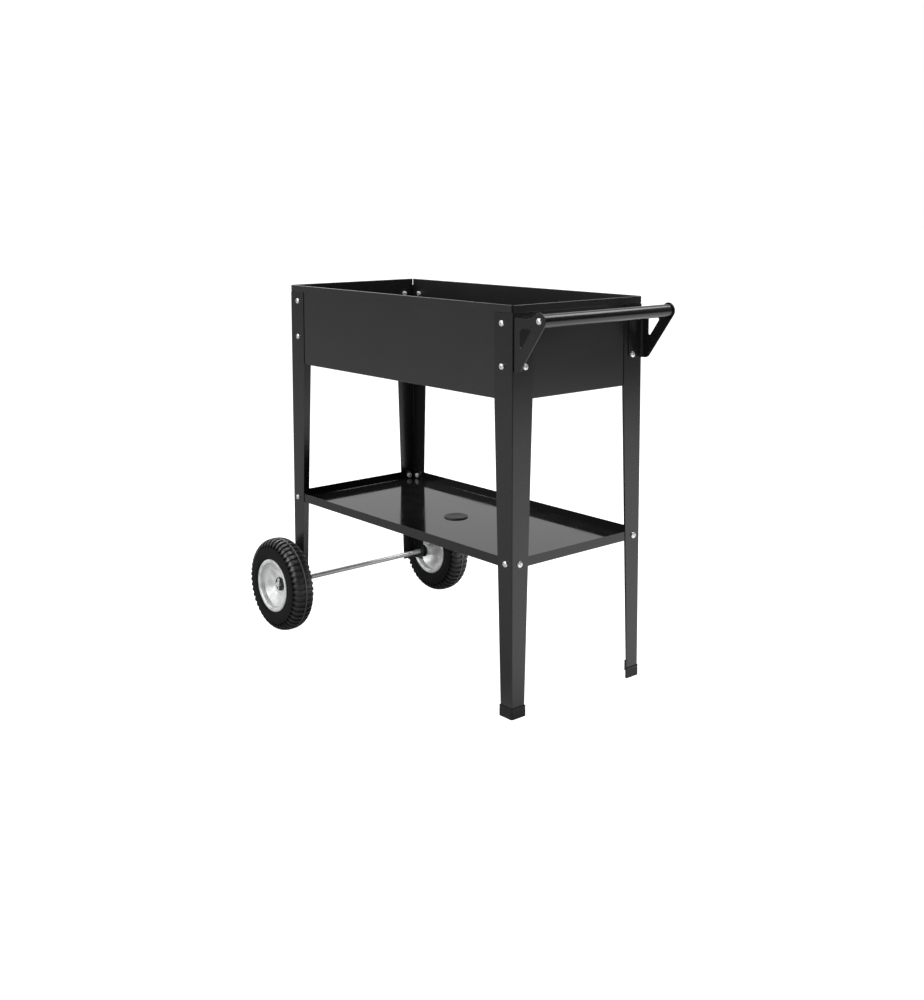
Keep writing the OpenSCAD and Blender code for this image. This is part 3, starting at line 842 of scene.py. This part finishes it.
# ---------------------------------------------------------------- wheel rims
# Each wheel has two pressed steel dishes, spot welded back to back at the middle and zinc plated.
# A dish rises in a cone to the bead seat, then turns out into a rolled lip over the tyre's bead.
def from_axle(tree, centre):
    """The distance of a point from the axle line, which runs along Y."""
    shift = tree.nodes.new("ShaderNodeMapping")
    shift.inputs["Location"].default_value = (-centre.x, 0, -centre.z)
    tree.links.new(tree.nodes.new("ShaderNodeTexCoord").outputs["Object"], shift.inputs["Vector"])
    flat = tree.nodes.new("ShaderNodeVectorMath")
    flat.operation = "MULTIPLY"
    flat.inputs[1].default_value = (1, 0, 1)
    tree.links.new(shift.outputs["Vector"], flat.inputs[0])
    far = tree.nodes.new("ShaderNodeVectorMath")
    far.operation = "LENGTH"
    tree.links.new(flat.outputs["Vector"], far.inputs[0])
    return far.outputs["Value"]


def pressed_zinc(name, tone, roughness, centre):
    """Zinc on pressed steel: clouded, with fine rings left by the die, round the axle line."""
    # Partly painted light: the zinc is set under half metal, so on top of its real reflection a white
    # painted brightness lies on the dishes and hub tubes.
    material, shader, tree = new_material(name, Metallic=0.42)
    spread = tree.nodes.new("ShaderNodeCombineXYZ")
    tree.links.new(from_axle(tree, centre), spread.inputs["X"])
    rings = noise_of(tree, 1400.0, 2.0, spread.outputs["Vector"])
    clouds = noise_of(tree, 48.0, 5.0)
    crystals = noise_of(tree, 420.0, 2.0)
    grown = sums(tree, "ADD", clouds, sums(tree, "MULTIPLY", crystals, 0.4))
    mix = mapped(tree, grown, 0.0, 1.0, 0.55, 0.85)
    body = two_tones(tree, mix, [0.62 * c for c in tone], tone)
    tree.links.new(body.outputs["Result"], shader.inputs["Base Color"])
    gloss = mapped(tree, mix, roughness + 0.08, roughness - 0.04)
    tree.links.new(gloss, shader.inputs["Roughness"])
    wavy = sums(tree, "ADD", sums(tree, "MULTIPLY", rings, 0.25), clouds)
    relief(tree, shader, wavy, 0.0006)
    return material


wheel_low, wheel_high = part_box("front_tyre")
axle_line = (wheel_low + wheel_high) / 2
rim_steel = pressed_zinc("rim_steel", (0.93, 0.935, 0.94), 0.42, axle_line)
RIM_SHEET = 0.0015
HUB_RADIUS = 0.015
WELD_DISC = 0.024
DISC_BEND = 0.016
CONE_SLOPE = 28
SEAT_RADIUS = 0.0535
SEAT_BEND = 0.005
SEAT_RISE = 0.0172
BEAD_BEND = 0.0032
LIP_CURL = 0.0006


def rim_dish(node, body, facing):
    """One dish, turned about Z with its weld face at the origin and its mouth to +Z."""
    low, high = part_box(node)
    lip = (high.x - low.x) / 2
    rise = high.y - low.y
    top = rise - RIM_SHEET
    weld_ring = [(0.0175, 0.0), (0.0182, 0.0004), (0.0208, 0.0004), (0.0216, 0.0)]
    outline = ([(HUB_RADIUS, 0)] + weld_ring
               + curve((WELD_DISC, DISC_BEND), DISC_BEND, -88, CONE_SLOPE - 90, 6)
               + curve((SEAT_RADIUS - SEAT_BEND, SEAT_RISE), SEAT_BEND, CONE_SLOPE - 90, 0, 8)
               + curve((SEAT_RADIUS + BEAD_BEND, top - BEAD_BEND), BEAD_BEND, 180, 90, 8)
               + curve((lip - RIM_SHEET - LIP_CURL, top - LIP_CURL), LIP_CURL, 90, -40, 6))
    dish = turned(outline, steps=120)
    face_out(dish, lambda faces: min(faces, key=lambda f: f.center.xy.length).normal.z > 0)
    modify(dish, "SOLIDIFY", thickness=RIM_SHEET, offset=1, use_even_offset=True)
    smooth(dish)
    dish.rotation_euler = (-math.pi / 2 * facing, 0, 0)
    middle = (low + high) / 2
    dish.location = (middle.x, low.y if facing > 0 else high.y, middle.z)
    return place(dish, node + "_dish", rim_steel, body, "rim_steel", node)


for side, outwards in (("front", -1), ("back", 1)):
    rim_dish(f"{side}_rim_outer", f"{side}_wheel", outwards)
    rim_dish(f"{side}_rim_inner", f"{side}_wheel", -outwards)
    repaint(f"{side}_hub_tube", rim_steel)
    for part in ("outer", "inner"):
        repaint(f"{side}_bush_{part}", spacer_plastic)


# ---------------------------------------------------------------- tyres
# Moulded black rubber on the rim. The sidewall is smooth but for a rib by the rim, and the crown
# has two rows of cross lugs with rounded ends, either side of the mould's parting rib.
def tyre_skin(name, tone, centre):
    """Rubber with a painted sheen, strong on the crown and weak on the sidewall, and a painted
    highlight on the parting rib.
    """
    material = rubber(name, tone, 0.42, 0.05)
    tree = material.node_tree
    shader = tree.nodes["Principled BSDF"]
    radial = from_axle(tree, centre)
    # Painted sheen: the rubber's reflection is set by distance from the axle, weak on the sidewall and
    # strong on the crown.
    shine = mapped(tree, radial, 0.08, 0.95, 0.090, 0.099)
    tree.links.new(shine, shader.inputs["Specular IOR Level"])
    # Painted highlight: a pale band of colour on the parting rib, where the rib catches the light.
    across = tree.nodes.new("ShaderNodeSeparateXYZ")
    tree.links.new(tree.nodes.new("ShaderNodeTexCoord").outputs["Object"], across.inputs["Vector"])
    from_centre = sums(tree, "ABSOLUTE", across.outputs["Y"], 0.0)
    off_middle = sums(tree, "SUBTRACT", from_centre, abs(centre.y))
    near_middle = mapped(tree, sums(tree, "ABSOLUTE", off_middle, 0.0), 1.0, 0.0, 0.0009, 0.0013)
    raised = mapped(tree, radial, 0.0, 1.0, 0.1055, 0.1062)
    seam_painted_highlight = two_tones(tree, sums(tree, "MULTIPLY", near_middle, raised), (0, 0, 0), (0.17, 0.17, 0.168))
    plain = shader.inputs["Base Color"].links[0].from_socket
    tree.links.new(plain, seam_painted_highlight.inputs["A"])
    tree.links.new(seam_painted_highlight.outputs["Result"], shader.inputs["Base Color"])
    return material


tyre_rubber = tyre_skin("tyre_rubber", (0.006, 0.006, 0.0061), axle_line)
LUGS = 48
COLUMNS = 11
LUG_DEPTH = 0.0038
LUG_START = 0.0885
LUG_END_ROUND = 0.006
LUG_EDGE = 0.0009
GROOVE = 0.0022
BEAD_RADIUS = 0.05475
BEAD_INSET = 0.0045
INNER_RADIUS = 0.051


def tyre_ring(node, body):
    """One pitch of the tyre is traced, stepped round, given its lugs, and repeated round the wheel."""
    low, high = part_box(node)
    outer = (high.x - low.x) / 2
    half = (high.y - low.y) / 2
    middle = (outer + INNER_RADIUS) / 2
    reach = (outer - INNER_RADIUS) / 2

    def skin(degrees, sink=0.0):
        """A point of the tyre's rounded section, 0 at the widest and 90 at the crown."""
        sine = math.sin(math.radians(degrees))
        swell = (1 - abs(sine) ** 3.5) ** (1 / 2.6) if abs(sine) < 0.99999 else 0.0
        return middle + (reach - sink) * sine, (half - sink * 0.97) * swell

    rib = [(0.0645, 0.02545), (0.0652, 0.0260), (0.0664, 0.0262), (0.0671, 0.0258)]
    wall = [(BEAD_RADIUS, half - BEAD_INSET), skin(-42)] + rib
    wall += [skin(a) for a in (-18, -12, -6, 0, 5, 10, 14, 18, 21)]
    crown = [skin(a, LUG_DEPTH) for a in (25, 29, 33, 38, 44, 51, 58, 65, 71, 76, 80, 83.5)]
    seam = [(outer - LUG_DEPTH, 0.0019), (outer - LUG_DEPTH, 0.0013), (outer - 0.0002, 0.0010)]
    outline = wall + crown + seam
    outline += [(r, -z) for r, z in reversed(outline)]
    outline.append(outline[0])
    ring = trace(outline)
    step = 2 * math.pi / LUGS
    bpy.ops.object.mode_set(mode="EDIT")
    bpy.ops.mesh.select_all(action="SELECT")
    bpy.ops.mesh.spin(steps=COLUMNS, angle=step, center=(0, 0, 0), axis=(0, 0, 1))
    bpy.ops.mesh.select_all(action="SELECT")
    bpy.ops.mesh.remove_doubles(threshold=MERGE)
    bpy.ops.object.mode_set(mode="OBJECT")
    face_out(ring, lambda faces: max(faces, key=lambda f: f.center.xy.length).normal.x > 0)

    def on_lug(m, f):
        off = abs(abs(math.atan2(m.y, m.x)) / step - 0.5) * 2
        inside_end = m.xy.length > LUG_START + LUG_END_ROUND * off ** 2
        return off < 0.5 and abs(m.z) > GROOVE and inside_end

    bpy.ops.object.mode_set(mode="EDIT")
    pick("FACE", on_lug)
    bpy.ops.mesh.extrude_region_shrink_fatten(TRANSFORM_OT_shrink_fatten={"value": LUG_DEPTH * 0.96})
    bpy.ops.object.mode_set(mode="OBJECT")
    modify(ring, "BEVEL", width=LUG_EDGE, segments=2, limit_method="ANGLE",
           angle_limit=math.radians(45))
    only(ring)
    bpy.ops.object.mode_set(mode="EDIT")
    bpy.ops.mesh.select_all(action="SELECT")
    bpy.ops.mesh.spin(steps=LUGS - 1, angle=step * (LUGS - 1), center=(0, 0, 0), axis=(0, 0, 1),
                      dupli=True)
    bpy.ops.object.mode_set(mode="OBJECT")
    outside_out(ring)
    only(ring)
    bpy.ops.object.shade_smooth_by_angle(angle=math.radians(40))
    ring.rotation_euler = (math.pi / 2, 0, 0)
    ring.location = (low + high) / 2
    return place(ring, node + "_lugged", tyre_rubber, body, "tyre_rubber", node)


for side in ("front", "back"):
    tyre_ring(f"{side}_tyre", f"{side}_wheel")


# ---------------------------------------------------------------- feet
# Black rubber caps pushed over the two long legs. Each follows the leg's angle, has a thick rim
# round its mouth and fine ribs round its sides.
RIB_LEVELS = (0.0022, 0.0032, 0.0062, 0.0072, 0.0102, 0.0112, 0.0142, 0.0152, 0.0178, 0.0186)
RIB_DEPTH = 0.0004
FOOT_WALL = 0.003
foot_rubber = rubber("foot_rubber", (0.004, 0.004, 0.004), 0.42, 0.03, shine=0.30)


def rubber_foot(node):
    """The frame's cap, cut into bands, with every other band drawn in a little."""
    low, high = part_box(node)
    foot = copied_from(node)
    only(foot)
    bpy.ops.object.mode_set(mode="EDIT")
    for level in RIB_LEVELS:
        bpy.ops.mesh.select_all(action="SELECT")
        bpy.ops.mesh.bisect(plane_co=(0, 0, low.z + level), plane_no=(0, 0, 1))
    grooves = list(zip(RIB_LEVELS[::2], RIB_LEVELS[1::2]))
    grooves.append(RIB_LEVELS[-3:-1])

    def in_groove(m, f):
        level = m.z - low.z
        cut = any(a < level < b for a, b in grooves)
        at_outside = min(abs(m.x - high.x), abs(m.y - low.y), abs(m.y - high.y)) < FOOT_WALL
        return cut and abs(f.normal.z) < 0.1 and at_outside

    pick("FACE", in_groove)
    bpy.ops.mesh.extrude_region_shrink_fatten(TRANSFORM_OT_shrink_fatten={"value": -RIB_DEPTH})
    bpy.ops.object.mode_set(mode="OBJECT")
    soften(foot, 0.00018, angle=40)
    return place(foot, node + "_cap", foot_rubber, "frame", "foot_rubber", node)


for node in ("front_foot", "back_foot"):
    rubber_foot(node)
